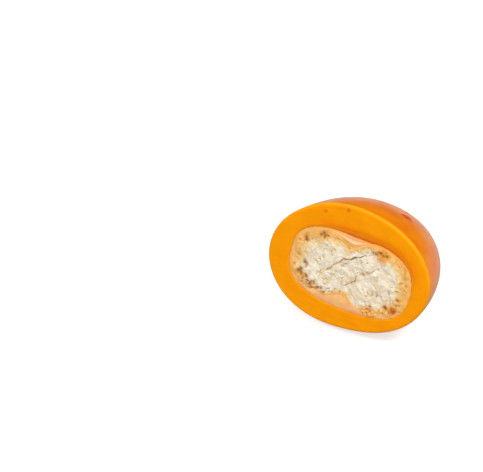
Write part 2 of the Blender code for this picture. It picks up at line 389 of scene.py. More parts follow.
class Workpiece:
    """One mesh on the bench, modelled as by hand in edit mode."""

    def __init__(self, name: str, radii: Sequence[float], segments: int, rings: int) -> None:
        """Starts from a ball with its poles on Y, and halves its faces each way.

        Args:
            name: Name of the piece.
            radii: Its half sizes in millimetres.
            segments: Steps round the ball.
            rings: Steps from pole to pole.
        """
        bpy.ops.mesh.primitive_uv_sphere_add(
            segments=segments // 2, ring_count=rings // 2, rotation=(math.radians(90), 0, 0)
        )
        bpy.ops.object.mode_set(mode="EDIT")
        bpy.ops.mesh.select_all(action="SELECT")
        bpy.ops.mesh.subdivide(number_cuts=1)
        bpy.ops.object.mode_set(mode="OBJECT")
        self.obj = bpy.context.object
        self.obj.name = name
        self.obj.data.name = name
        bpy.ops.object.transform_apply(location=False, rotation=True, scale=False)
        self.obj.scale = radii
        bpy.ops.object.transform_apply(location=False, rotation=False, scale=True)

    @property
    def mesh(self) -> bpy.types.Mesh:
        """The piece's mesh."""
        return self.obj.data

    def points(self) -> Array:
        """Reads where the vertices are.

        Returns:
            One row for each vertex.
        """
        flat = np.empty(len(self.mesh.vertices) * 3, np.float32)
        self.mesh.vertices.foreach_get("co", flat)
        return flat.reshape(-1, 3).astype(float)

    def shape(self, place: Place) -> None:
        """Moves every vertex in object mode.

        Args:
            place: Takes all the points and returns where they go.
        """
        moved = place(self.points()).astype(np.float32)
        self.mesh.vertices.foreach_set("co", moved.ravel())
        self.mesh.update()

    def cut_front(self, depth: float) -> None:
        """Cuts the front off square and leaves the rim selected in edit mode.

        Args:
            depth: Where the knife goes through.
        """
        bpy.ops.object.mode_set(mode="EDIT")
        bpy.ops.mesh.select_mode(type="VERT")
        bpy.ops.mesh.select_all(action="SELECT")
        bpy.ops.mesh.bisect(plane_co=(0.0, depth, 0.0), plane_no=(0.0, 1.0, 0.0), clear_inner=True)
        bpy.ops.mesh.select_all(action="DESELECT")
        bpy.ops.mesh.select_mode(type="EDGE")
        bm = bmesh.from_edit_mesh(self.mesh)
        for edge in bm.edges:
            edge.select = edge.is_boundary
        bm.select_flush_mode()
        bmesh.update_edit_mesh(self.mesh)

    def rim(self) -> Array:
        """The selected vertices' points, one row for each."""
        bm = bmesh.from_edit_mesh(self.mesh)
        return np.array([vert.co for vert in bm.verts if vert.select])

    def extrude_lines(self, shares: Array, line: Line) -> None:
        """Extrudes the selected rim once for each line of a surface.

        Args:
            shares: How far along the surface each line lies, from 0 to 1.
            line: Takes angles about the filling's centre and a share, and returns points.
        """
        for share in shares:
            bpy.ops.mesh.extrude_region_move()
            bm = bmesh.from_edit_mesh(self.mesh)
            rim = [vert for vert in bm.verts if vert.select]
            angle, _ = FILLING.polar(np.array([vert.co for vert in rim]))
            for vert, point in zip(rim, line(angle, share)):
                vert.co = point
            bmesh.update_edit_mesh(self.mesh)

    def close(self) -> None:
        """Draws the selected rim together in one point, and turns all faces outwards."""
        bpy.ops.mesh.merge(type="CENTER")
        bpy.ops.mesh.select_all(action="SELECT")
        bpy.ops.mesh.normals_make_consistent(inside=False)
        bpy.ops.object.mode_set(mode="OBJECT")

    def mark(self, mark: Mark, values: Array) -> None:
        """Keeps a number at each vertex for the material to read."""
        attribute = self.mesh.attributes.new(mark.value, "FLOAT", "POINT")
        attribute.data.foreach_set("value", values.astype(np.float32))

    def stand(self, *materials: Material) -> Piece:
        """Gives the piece its finishes, and its size and place in the frame.

        Args:
            materials: Its finishes.

        Returns:
            The finished object, at the origin.
        """
        for material in materials:
            self.mesh.materials.append(material)
        pick(self.obj)
        bpy.ops.object.shade_smooth()
        self.obj.matrix_world = EGG.pose()
        bpy.ops.object.transform_apply(location=True, rotation=True, scale=True)
        return self.obj


class Shader:
    """A material's nodes while they are wired."""

    def __init__(self, name: str) -> None:
        """Starts a Principled material that reads object coordinates.

        Args:
            name: The material's name.
        """
        self.material = bpy.data.materials.new(name)
        self.material.use_nodes = True
        self.tree = self.material.node_tree
        self.surface = self.tree.nodes["Principled BSDF"]
        self.place = self.tree.nodes.new("ShaderNodeTexCoord").outputs["Object"]

    def wire(self, value: object, socket: Socket) -> None:
        """Links an output to a socket, or sets the socket to a plain value.

        Args:
            value: The output or the plain value.
            socket: The input that it goes to.
        """
        if isinstance(value, Socket):
            self.tree.links.new(value, socket)
        else:
            socket.default_value = value

    def set(self, **values: float) -> None:
        """Sets plain values on the Principled shader, spaces written as underscores."""
        for name, value in values.items():
            self.surface.inputs[name.replace("_", " ")].default_value = value

    def mark(self, mark: Mark) -> Socket:
        """Reads a number kept at the vertices.

        Args:
            mark: Which one.

        Returns:
            The number.
        """
        node = self.tree.nodes.new("ShaderNodeAttribute")
        node.attribute_name = mark.value
        return node.outputs["Fac"]

    def grain(self, size: float, detail: float = 2.0, stretch: Sequence[float] = (1, 1, 1)) -> Socket:
        """Noise of a given size.

        Args:
            size: Size of its swells in millimetres.
            detail: How many finer layers it has.
            stretch: How much closer its swells lie along each axis.

        Returns:
            The noise, from 0 to 1.
        """
        mapping = self.tree.nodes.new("ShaderNodeMapping")
        mapping.inputs["Rotation"].default_value = (EGG.tilt(), 0, 0)
        mapping.inputs["Scale"].default_value = stretch
        node = self.tree.nodes.new("ShaderNodeTexNoise")
        node.inputs["Scale"].default_value = 1 / (size * MM)
        node.inputs["Detail"].default_value = detail
        self.wire(self.place, mapping.inputs["Vector"])
        self.wire(mapping.outputs["Vector"], node.inputs["Vector"])
        return node.outputs["Fac"]

    def between(
        self, value: object, low: float, high: float, start: float = 0.0, end: float = 1.0
    ) -> Socket:
        """Runs smoothly from start to end as a value goes from low to high, and no further.

        Args:
            value: The value that goes from low to high.
            low: Where the run starts.
            high: Where it ends.
            start: What it starts from.
            end: What it ends at.

        Returns:
            The run's value.
        """
        node = self.tree.nodes.new("ShaderNodeMapRange")
        node.interpolation_type = "SMOOTHSTEP"
        self.wire(value, node.inputs["Value"])
        node.inputs["From Min"].default_value = low
        node.inputs["From Max"].default_value = high
        node.inputs["To Min"].default_value = start
        node.inputs["To Max"].default_value = end
        return node.outputs["Result"]

    def sum(self, first: object, second: object, share: float = 1.0) -> Socket:
        """Adds a share of the second value to the first.

        Args:
            first: A value.
            second: The value of which a share is added.
            share: The share.

        Returns:
            Their sum.
        """
        node = self.tree.nodes.new("ShaderNodeMath")
        node.operation = "MULTIPLY_ADD"
        for value, socket in zip((second, share, first), node.inputs):
            self.wire(value, socket)
        return node.outputs["Value"]

    def blend(self, share: object, first: object, second: object) -> Socket:
        """Mixes two colours.

        Args:
            share: How much of the second one, from 0 to 1.
            first: A colour from 0 to 255, or an output.
            second: The other colour.

        Returns:
            The mixed colour.
        """
        node = self.tree.nodes.new("ShaderNodeMix")
        node.data_type = "RGBA"
        self.wire(share, node.inputs["Factor"])
        # Inputs 6 and 7 of the mix node are its colours, and output 2 is the mixed one.
        for colour, socket in ((first, node.inputs[6]), (second, node.inputs[7])):
            self.wire(linear(colour) if isinstance(colour, tuple) else colour, socket)
        return node.outputs[2]

    def relief(self, height: object, depth: float) -> None:
        """Gives the surface a fine bump.

        Args:
            height: From 0 to 1.
            depth: What 1 stands for, in millimetres.
        """
        node = self.tree.nodes.new("ShaderNodeBump")
        node.inputs["Distance"].default_value = depth * MM
        self.wire(height, node.inputs["Height"])
        self.wire(node.outputs["Normal"], self.surface.inputs["Normal"])

    def finish(
        self, colour: object, rough: tuple[float, float, float], depth: float, reach: Sequence[float]
    ) -> Material:
        """Wires the colour and sets how rough and how translucent the surface is.

        Args:
            colour: The colour's output.
            rough: Size of the roughness's swells in millimetres, and its least and most.
            depth: How deep light goes under the surface, in millimetres.
            reach: How far its red, green and blue go, against each other.

        Returns:
            The material.
        """
        size, least, most = rough
        self.wire(colour, self.surface.inputs["Base Color"])
        swells = self.between(self.grain(size), 0.3, 0.7, least, most)
        self.wire(swells, self.surface.inputs["Roughness"])
        self.surface.inputs["Subsurface Scale"].default_value = depth * MM
        self.surface.inputs["Subsurface Radius"].default_value = reach
        return self.material


@dataclass(frozen=True)
class GlossySkin:
    """Finish of the coating's outside: glossy deep orange with red flecks under the gloss."""

    orange: Rgb = (243, 136, 0)
    deep: Rgb = (236, 120, 0)
    halo: Rgb = (226, 92, 0)
    fleck: Rgb = (212, 56, 4)

    def material(self) -> Material:
        """Wires the material.

        Returns:
            The material.
        """
        shader = Shader("glossy_skin")
        mottle = shader.grain(2.4, detail=3.0)
        colour = shader.blend(shader.between(mottle, 0.35, 0.7), self.orange, self.deep)
        ragged = shader.sum(shader.mark(Mark.FLECK), shader.grain(0.24, detail=3.0), 0.5)
        colour = shader.blend(shader.between(ragged, 0.38, 0.68, 0.0, 0.8), colour, self.halo)
        colour = shader.blend(shader.between(ragged, 0.66, 0.85), colour, self.fleck)
        shader.relief(shader.grain(0.9, detail=1.0), 0.008)
        shader.set(Subsurface_Weight=0.10, Specular_IOR_Level=0.45)
        return shader.finish(colour, (1.1, 0.13, 0.20), 0.5, (1.0, 0.4, 0.05))


@dataclass(frozen=True)
class CutCoating:
    """Finish of the coating where the knife went through: even satin orange, with painted shade on the
    slope down to the filling and a painted highlight along the rounded knife edge.
    """

    orange: Rgb = (246, 153, 0)
    deep: Rgb = (241, 147, 0)
    # darker orange painted as shade on the slope down to the filling
    slope: Rgb = (240, 106, 0)
    # lighter orange painted as a highlight along the rounded knife edge
    lip_highlight: Rgb = (255, 180, 36)
    speck: Rgb = (206, 108, 6)

    def material(self) -> Material:
        """Wires the material.

        Returns:
            The material.
        """
        shader = Shader("cut_coating")
        mottle = shader.grain(2.0, detail=3.0)
        colour = shader.blend(shader.between(mottle, 0.3, 0.7), self.orange, self.deep)
        # painted shade on the slope, strongest along the filling's upper side
        colour = shader.blend(shader.mark(Mark.SLOPE_SHADE), colour, self.slope)
        # painted highlight along the rounded knife edge
        colour = shader.blend(shader.mark(Mark.LIP_HIGHLIGHT), colour, self.lip_highlight)
        specked = shader.sum(shader.mark(Mark.SPECK), shader.grain(0.12), 0.4)
        colour = shader.blend(shader.between(specked, 0.5, 0.85, 0.0, 0.75), colour, self.speck)
        shader.relief(shader.grain(0.5, detail=3.0, stretch=(0.25, 1.0, 3.0)), 0.012)
        shader.set(Subsurface_Weight=0.12, Specular_IOR_Level=0.05)
        return shader.finish(colour, (0.8, 0.40, 0.52), 0.5, (1.0, 0.4, 0.05))


@dataclass(frozen=True)
class PaleUndercoat:
    """Finish of the undercoat: waxy peach, creamy between its ripples, orange at the coating."""

    peach: Rgb = (236, 184, 118)
    pink: Rgb = (235, 171, 118)
    cream: Rgb = (238, 196, 140)
    orange: Rgb = (238, 146, 46)

    def material(self) -> Material:
        """Wires the material.

        Returns:
            The material.
        """
        shader = Shader("pale_undercoat")
        clouds = shader.between(shader.grain(1.3, detail=3.0), 0.38, 0.62)
        colour = shader.blend(clouds, self.peach, self.pink)
        colour = shader.blend(shader.mark(Mark.CREAM), colour, self.cream)
        seam = shader.sum(shader.mark(Mark.SEAM), shader.grain(0.4, detail=3.0), 0.5)
        colour = shader.blend(shader.between(seam, 0.4, 1.2), colour, self.orange)
        shader.relief(shader.grain(0.3, detail=4.0), 0.03)
        shader.set(Subsurface_Weight=0.2, Specular_IOR_Level=0.2)
        return shader.finish(colour, (0.7, 0.40, 0.58), 0.4, (1.0, 0.6, 0.3))


@dataclass(frozen=True)
class BakedCrumb:
    """Finish of the biscuit: chalky crumb, tan to golden crust, brown pores and burnt spots, with painted
    shade in its cracks, pits, seams and low ground.
    """

    cream: Rgb = (237, 227, 206)
    grey: Rgb = (227, 212, 185)
    tan: Rgb = (234, 198, 134)
    golden: Rgb = (238, 177, 92)
    toasted: Rgb = (222, 148, 58)
    # warm colour painted as shade in pits, seams, low ground and cracks
    hollow: Rgb = (186, 148, 94)
    pore: Rgb = (150, 80, 16)
    # dark colour painted as shade in the cracks
    crack: Rgb = (112, 92, 56)
    burnt: Rgb = (196, 86, 0)

    def material(self) -> Material:
        """Wires the material.

        Returns:
            The material.
        """
        shader = Shader("baked_crumb")
        clouds = shader.between(shader.grain(0.8, detail=3.0), 0.38, 0.66)
        colour = shader.blend(clouds, self.cream, self.grey)
        crust = shader.sum(shader.mark(Mark.CRUST), shader.grain(0.8, detail=3.0), 0.8)
        colour = shader.blend(shader.between(crust, 0.34, 0.92), colour, self.tan)
        colour = shader.blend(shader.between(crust, 0.62, 1.30), colour, self.golden)
        toast = shader.sum(shader.mark(Mark.TOAST), shader.grain(0.3, detail=4.0), 0.6)
        colour = shader.blend(shader.between(toast, 0.45, 1.4), colour, self.toasted)
        for mark, tint in (
            # painted shade in pits, seams, low ground and cracks
            (Mark.HOLLOW_SHADE, self.hollow),
            (Mark.BURNT, self.burnt),
            # painted shade in the cracks
            (Mark.CRACK_SHADE, self.crack),
            (Mark.PORE, self.pore),
        ):
            colour = shader.blend(shader.mark(mark), colour, tint)
        shader.relief(shader.grain(0.16, detail=4.0), 0.03)
        shader.set(Subsurface_Weight=0.12, Specular_IOR_Level=0.12)
        return shader.finish(colour, (0.4, 0.75, 0.95), 0.3, (1.0, 0.8, 0.6))


@dataclass(frozen=True)
class Fleck:
    """A flake of colour on the skin: its place, half size, narrowing and turn."""

    angle: float
    depth: float
    radius: float
    narrow: float
    turn: float


@dataclass
class Coating:
    """The orange shell: skin, rounded knife edge, cut face, slope down to the filling and cavity."""

    segments: int = 384
    rings: int = 256
    edge_rounding: float = 0.36
    edge_steps: int = 7
    face_steps: int = 26
    slope_width: float = 0.28
    slope_wider: float = 0.85
    slope_steps: int = 7
    cavity_steps: int = 10
    cavity_top: float = 0.6
    face_wave: float = 0.05
    slope_curve: float = 1.6
    # these two: how far the painted shade on the slope reaches, and how faint it is away from the upper
    # side
    slope_shade_fade: float = 1.4
    least_slope_shade: float = 0.08
    near_face: float = 1.0
    least_cut: float = 0.02
    skin_share: float = 0.9
    cut_share: float = 0.9
    speck_rim: float = 1.2
    full_swells: float = 0.8
    uneven_slope: float = 0.25
    drag: tuple[float, float, float] = (0.25, 1.0, 2.2)
    face_shares: Pair = (0.6, 0.4)
    # strength of the painted highlight along the rounded knife edge
    lip_highlight_share: float = 0.30
    fleck_halo: float = 1.6
    fleck_edge: Pair = (0.25, 0.6)
    fleck_height: float = 0.05
    fleck_count: int = 32
    fleck_seed: int = 11
    fleck_radius: Pair = (0.26, 0.60)
    fleck_narrowing: Pair = (0.55, 0.95)
    fleck_drift: float = 0.8
    fleck_turn: float = 0.5
    small_flecks: float = 1.6
    cut_margin: float = 1.0
    tip_margin: float = 0.5
    floor_margin: float = 0.8
    main_fleck: tuple[float, float, float] = (math.radians(55.0), 6.7, 0.72)
    clear_angles: Pair = (math.radians(-15.0), math.radians(120.0))
    clear_depth: float = 8.2
    specks: tuple[tuple[float, float, float], ...] = ((-0.84, 6.72, 0.31), (-3.5, 5.8, 0.28))

    def flecks(self) -> list[Fleck]:
        """Spreads the flecks by the golden angle and chance, as the solids have them.

        Returns:
            The flecks that clear the cut, the tip and the floor.
        """
        chance = random.Random(self.fleck_seed)
        golden = math.pi * (3.0 - math.sqrt(5.0))
        places = [self.main_fleck]
        for index in range(self.fleck_count):
            share = (index + 0.5) / self.fleck_count
            depth = EGG.cut_depth + share * (EGG.half_length - EGG.cut_depth)
            depth += chance.uniform(-self.fleck_drift, self.fleck_drift)
            angle = index * golden + chance.uniform(-self.fleck_turn, self.fleck_turn)
            size = chance.random() ** self.small_flecks
            low, high = self.fleck_radius
            turned = (angle - self.clear_angles[0]) % math.tau
            clear = depth < self.clear_depth and turned < self.clear_angles[1] - self.clear_angles[0]
            tip = EGG.half_length - self.tip_margin
            if EGG.behind(self.cut_margin) < depth < tip and not clear:
                places.append((angle, depth, low + size * (high - low)))
        reach = EGG.floor_distance() - self.floor_margin
        kept = [p for p in places if EGG.skin_point(p[0], p[1]) @ EGG.down() < reach]
        found = []
        for index, (angle, depth, radius) in enumerate(kept):
            chance = random.Random(self.fleck_seed * 100 + index)
            narrow = chance.uniform(*self.fleck_narrowing)
            found.append(Fleck(angle, depth, radius, narrow, chance.uniform(0, math.tau)))
        return found

    def fleck_field(self, points: Array) -> Array:
        """How deep inside a fleck each point lies.

        Args:
            points: One row for each point of the skin.

        Returns:
            1 in the middle of a fleck, falling to 0 a little outside its edge.
        """
        flecked = np.zeros(len(points))
        for fleck in self.flecks():
            middle = EGG.skin_point(fleck.angle, fleck.depth)
            normal = Vector(middle / EGG.radii**2).normalized()
            lie = np.array(normal.to_track_quat("Z", "X").to_matrix())
            flat = (points - middle) @ lie
            cos, sin = math.cos(fleck.turn), math.sin(fleck.turn)
            along = (flat[:, 0] * cos + flat[:, 1] * sin) / fleck.radius
            across = (flat[:, 1] * cos - flat[:, 0] * sin) / (fleck.radius * fleck.narrow)
            near = np.abs(flat[:, 2]) < 3 * fleck.radius
            inside = np.clip(1.0 - np.hypot(along, across) / self.fleck_halo, 0.0, 1.0) * near
            flecked = np.maximum(flecked, inside)
        return flecked

    def skin(self, points: Array) -> Array:
        """Turns the plain ball into the egg with its uneven skin.

        Args:
            points: One row for each point of the ball.

        Returns:
            One row for each point of the skin.
        """
        direction = points / EGG.radii
        direction /= np.linalg.norm(direction, axis=1, keepdims=True)
        points = direction * EGG.radii
        angle = np.arctan2(points[:, 2], points[:, 0])
        wider = EGG.section_radius(angle) / EGG.plain_radius(angle)
        placed = points * np.column_stack([wider, np.ones_like(wider), wider])
        wave = EGG.skin_wave * ripple(placed * MM, EGG.skin_wave_span * MM)
        return placed + direction * wave[:, None]

    def face_depth(self, points: Array) -> Array:
        """Slight swells that the knife left in the cut face.

        Args:
            points: One row for each point.

        Returns:
            How much deeper each point lies.
        """
        slow = ripple(points, 3.2, layer=1.0)
        dragged = ripple(points * np.array(self.drag), 1.2, layer=2.0)
        return self.face_wave * (self.face_shares[0] * slow + self.face_shares[1] * dragged)

    def build(self) -> Piece:
        """Models the shell.

        Returns:
            The finished piece.
        """
        work = Workpiece("coating_shell", EGG.radii, self.segments, self.rings)
        work.shape(self.skin)
        work.cut_front(EGG.behind(self.edge_rounding))
        self.model_face(work)
        work.extrude_lines(np.arange(self.cavity_steps) / self.cavity_steps, self.cavity_line)
        work.close()
        cut_faces = self.finish_surface(work)
        shell = work.stand(GlossySkin().material(), CutCoating().material())
        shell.data.polygons.foreach_set("material_index", cut_faces.astype(np.int32))
        return shell

    def model_face(self, work: Workpiece) -> None:
        """Extrudes the rounded knife edge, the cut face and the slope down to the filling.

        Args:
            work: The shell, its rim selected.
        """
        angle, radius = FILLING.polar(work.rim())

        def outer(at: Array) -> Array:
            """Distance of the shell's outside from the filling's axis."""
            return np.interp(at, angle, radius, period=math.tau)

        def round_edge(at: Array, share: float) -> Array:
            """One line of the rounded edge, inset as a quarter turn goes on.

            Args:
                at: Angles about the filling's centre.
                share: How far along it lies, from 0 to 1.

            Returns:
                The line's points.
            """
            turn = share * math.pi / 2
            inset = self.edge_rounding * (1 - math.cos(turn))
            depth = EGG.cut_depth + self.edge_rounding * (1 - math.sin(turn))
            return FILLING.at(at, outer(at) - inset, depth)

        def cross_face(at: Array, share: float) -> Array:
            """One line of the cut face, from the rounded edge to the slope.

            Args:
                at: Angles about the filling's centre.
                share: How far along it lies, from 0 to 1.

            Returns:
                The line's points.
            """
            start = outer(at) - self.edge_rounding
            end = self.opening(at) + self.slope_reach(at)
            placed = FILLING.at(at, start + (end - start) * share, EGG.cut_depth)
            fade = math.sin(math.pi * share * 1.2) if share < self.full_swells else 1.0
            placed[:, 1] += self.face_depth(placed) * fade
            return placed

        def slope_down(at: Array, share: float) -> Array:
            """One line of the slope, which steepens towards the filling.

            Args:
                at: Angles about the filling's centre.
                share: How far along it lies, from 0 to 1.

            Returns:
                The line's points.
            """
            reach = self.slope_reach(at) * (1 - share)
            placed = FILLING.at(at, self.opening(at) + reach, EGG.cut_depth)
            placed[:, 1] += self.face_depth(placed) + share**self.slope_curve * FILLING.ledge(at)
            return placed

        for steps, line in (
            (self.edge_steps, round_edge),
            (self.face_steps, cross_face),
            (self.slope_steps, slope_down),
        ):
            work.extrude_lines(np.arange(1, steps + 1) / steps, line)

    def opening(self, angle: Array) -> Array:
        """Distance of the opening's edge from the filling's axis."""
        return FILLING.opening_radius(angle) * FILLING.cut_share(FILLING.undercoat_length)

    def cavity_line(self, angle: Array, share: float) -> Array:
        """One line of the cavity's wall, a share of the way down."""
        radius, length = FILLING.undercoat_radius(angle), FILLING.undercoat_length + FILLING.gap
        return FILLING.wall(angle, radius + FILLING.gap, EGG.behind(self.cavity_top), length, share)

    def slope_reach(self, angle: Array) -> Array:
        """Works out the slope down to the filling.

        Args:
            angle: Angles in radians about the filling's centre.

        Returns:
            How wide the slope is at each angle.
        """
        around = FILLING.at(angle, FILLING.undercoat_radius(angle), 0.0)
        uneven = 1.0 + self.uneven_slope * ripple(around, 1.6, layer=5.0)
        return (self.slope_width + self.slope_wider * FILLING.upper_side(angle)) * uneven

    def finish_surface(self, work: Workpiece) -> Array:
        """Raises the flecks, presses the resting flat and marks what the finish reads.

        Args:
            work: The closed shell.

        Returns:
            For each face, whether the knife made it.
        """
        points = work.points()
        direction = points / EGG.radii
        on_skin = np.linalg.norm(direction, axis=1) > self.skin_share
        face = ease(self.edge_rounding * self.cut_share, 0.0, points[:, 1] - EGG.cut_depth)
        face = np.where(on_skin & (points[:, 1] > EGG.behind(self.edge_rounding)), 0.0, face)
        flecked = np.where(on_skin, self.fleck_field(points), 0.0)
        normal = points / EGG.radii**2
        normal /= np.linalg.norm(normal, axis=1, keepdims=True)
        raised = points + normal * (self.fleck_height * ease(*self.fleck_edge, flecked))[:, None]
        over = raised @ EGG.down() - EGG.floor_distance()
        raised -= np.outer(np.clip(over, 0.0, None), EGG.down())
        work.shape(lambda _: raised)
        angle, radius = FILLING.polar(points)
        # painted shade on the slope: strongest along the filling's upper side, fading away from the
        # opening
        edge = FILLING.opening_radius(angle)
        reach = self.slope_shade_fade * (self.slope_width + self.slope_wider)
        near = np.clip(1.0 - (radius - edge) / reach, 0.0, 1.0)
        slope = near * (self.least_slope_shade + (1 - self.least_slope_shade) * FILLING.upper_side(angle))
        speck = np.zeros(len(points))
        for x, z, size in self.specks:
            away = np.hypot(points[:, 0] - x, points[:, 2] - z)
            near = (points[:, 1] < EGG.behind(self.near_face)) & (away < 3 * size)
            speck = np.maximum(speck, np.clip(self.speck_rim - away / size, 0.0, 1.0) * near)
        # painted highlight along the rounded knife edge
        work.mark(Mark.LIP_HIGHLIGHT, self.lip_highlight_share * np.sin(np.pi * np.clip(face, 0.0, 1.0)))
        work.mark(Mark.FLECK, flecked)
        # painted shade on the slope down to the filling
        work.mark(Mark.SLOPE_SHADE, np.clip(slope, 0.0, 1.0) * (points[:, 1] < EGG.behind(self.near_face)))
        work.mark(Mark.SPECK, speck)
        means = [face[list(poly.vertices)].mean() for poly in work.mesh.polygons]
        return np.array(means) > self.least_cut


@dataclass
class Undercoat:
    """The pale layer: a thin cup round the biscuit, rippled where it fills the biscuit's dents."""

    segments: int = 360
    rings: int = 48
    face_steps: int = 20
    wall_steps: int = 10
    rim_depth: float = 0.6
    behind_ledge: float = 0.03
    inner_level: float = 0.15
    swell: float = 0.10
    ripple_height: float = 0.075
    unevenness: float = 0.05
    overlap: float = 0.05
    thin: float = 0.35
    thicker: float = 0.6
    folds: float = 2.0
    first_fold: float = 0.18
    fold_wobble: float = 0.12
    inner_top: float = 1.2
    seam_width: float = 0.30

    def outline(self, angle: Array) -> Array:
        """Its outer edge, just into the coating's wall so that no gap shows."""
        return FILLING.undercoat_radius(angle) + FILLING.gap + self.overlap

    def edge_span(self, angle: Array) -> tuple[Array, Array, Array]:
        """Works out the edge that shows in the cut.

        Args:
            angle: Angles in radians about the filling's centre.

        Returns:
            Where it starts at the coating, where it ends, and how thick it is from 0 to 1.
        """
        share = FILLING.cut_share(FILLING.undercoat_length)
        start = (FILLING.opening_radius(angle) + self.overlap) * share
        end = self.inner_radius(angle) * share
        return start, end, np.clip((start - end - self.thin) / self.thicker, 0.0, 1.0)

    def inner_radius(self, angle: Array) -> Array:
        """Its inner edge, just into the biscuit."""
        return FILLING.biscuit_radius(angle) - 2 * self.overlap

    def front_line(self, angle: Array, share: float) -> Array:
        """One line of the edge that shows in the cut.

        Args:
            angle: Angles in radians about the filling's centre.
            share: 0 at the coating, 1 at the biscuit.

        Returns:
            The line's points.
        """
        start, end, thick = self.edge_span(angle)
        placed = FILLING.at(angle, start + (end - start) * share, EGG.cut_depth)
        upper = thick * FILLING.upper_side(angle)
        outer_level = FILLING.ledge(angle) + self.behind_ledge
        level = outer_level + (self.inner_level - outer_level) * share**0.8
        level -= self.swell * thick * math.sin(math.pi * share)
        wobble = self.fold_wobble * ripple(placed, 1.4, layer=4.0)
        folds = np.cos(math.tau * self.folds * (share + wobble - self.first_fold))
        level -= self.ripple_height * folds * upper * math.sin(math.pi * share)
        level += self.unevenness * ripple(placed, 0.7, layer=7.0)
        placed[:, 1] += level
        return placed

    def inner_line(self, angle: Array, share: float) -> Array:
        """One line of the cup's inside, a share of the way down."""
        radius, length = self.inner_radius(angle), FILLING.biscuit_length
        return FILLING.wall(angle, radius, EGG.behind(self.inner_top), length, share)

    def build(self) -> Piece:
        """Models the cup.

        Returns:
            The finished piece.
        """
        radii, length = FILLING.undercoat_radii, FILLING.undercoat_length
        sizes = FILLING.half_sizes(radii, length)
        work = Workpiece("undercoat_layer", sizes, self.segments, self.rings)
        work.shape(lambda points: FILLING.ovoid(points, radii, length, self.outline))
        work.cut_front(EGG.behind(self.rim_depth))
        work.extrude_lines(np.arange(self.face_steps + 1) / self.face_steps, self.front_line)
        work.extrude_lines(np.arange(self.wall_steps) / self.wall_steps, self.inner_line)
        work.close()
        self.mark_layers(work)
        return work.stand(PaleUndercoat().material())

    def mark_layers(self, work: Workpiece) -> None:
        """Marks the seam with the coating and the creamy band between the ripples.

        Args:
            work: The closed cup.
        """
        angle, radius = FILLING.polar(work.points())
        start, end, thick = self.edge_span(angle)
        share = np.clip((start - radius) / (start - end), 0.0, 1.0)
        band = ease(0.30, 0.5, share) * (1.0 - ease(0.72, 0.85, share))
        upper = thick * FILLING.upper_side(angle)
        last = 0.9 * upper * ease(0.84, 0.94, share)
        work.mark(Mark.CREAM, band * upper)
        work.mark(Mark.SEAM, np.maximum(ease(self.seam_width, 0.0, start - radius), last))


@dataclass(frozen=True)
class Cloud:
    """Noise that rises smoothly from 0 to 1 between two of its values: these, span and layer."""

    low: float
    high: float
    span: float
    layer: float

    def at(self, points: Array) -> Array:
        """Its share, from 0 to 1, at each point."""
        return ease(self.low, self.high, ripple(points, self.span, self.layer))


@dataclass(frozen=True)
class Crack:
    """A crack in the crumb: its bends, depth and half width, and the strength of its dark and of its warm
    painted shade.
    """

    bends: tuple[Pair, ...]
    depth: float
    width: float
    crack_shade: float
    warm_shade: float


@dataclass(frozen=True)
class Patch:
    """A round patch of the biscuit's face: its place, size and strength."""

    x: float
    z: float
    size: float
    strength: float = 1.0


